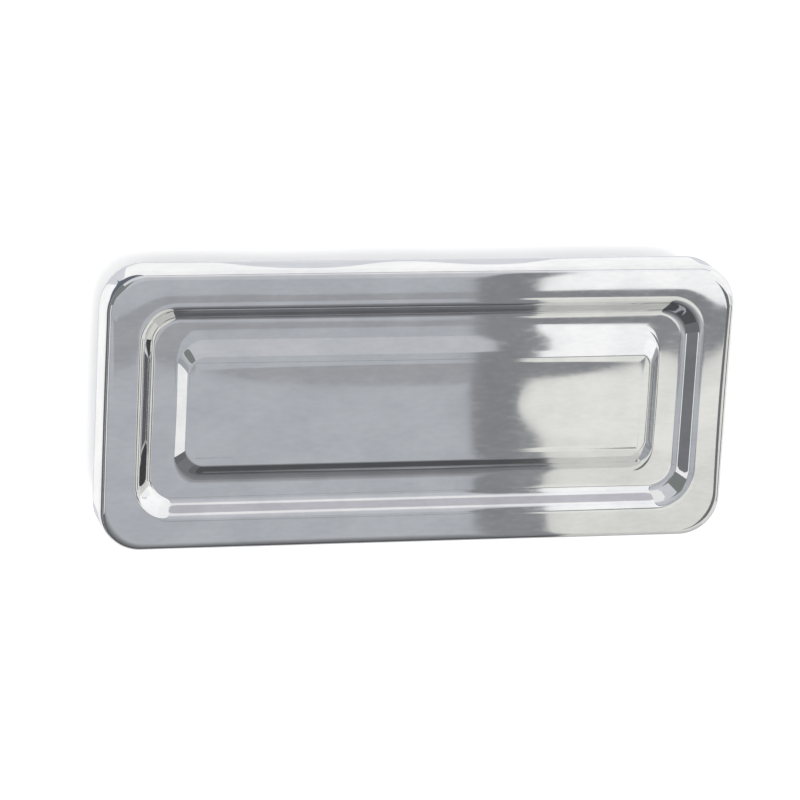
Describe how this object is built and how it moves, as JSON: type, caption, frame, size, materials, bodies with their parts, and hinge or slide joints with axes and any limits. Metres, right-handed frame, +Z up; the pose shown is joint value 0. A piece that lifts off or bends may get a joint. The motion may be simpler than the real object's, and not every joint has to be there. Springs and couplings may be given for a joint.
{
  "type": "instrument tray with lid",
  "caption": "Shallow pressed stainless steel tray with rounded corners and a lift-off lid that has a sunken channel around a raised middle panel.",
  "frame": {"origin": "middle of the tray's footprint, on the surface that it stands on", "axes": "+X along the tray's length, +Y across it, +Z up, the way the lid lifts off"},
  "size_m": [0.1752, 0.0778, 0.03],
  "materials": {
    "tray_steel": "polished, with faint lengthwise marks",
    "lid_steel": "polished, with faint lengthwise marks"
  },
  "bodies": {
    "tray": {"tray": "tray_steel"},
    "lid": {"lid": "lid_steel"}
  },
  "joints": [
    {"name": "lid_lift", "type": "slide", "parent": "tray", "child": "lid", "axis": [0, 0, 1], "range_m": [0, 0.08]}
  ]
}
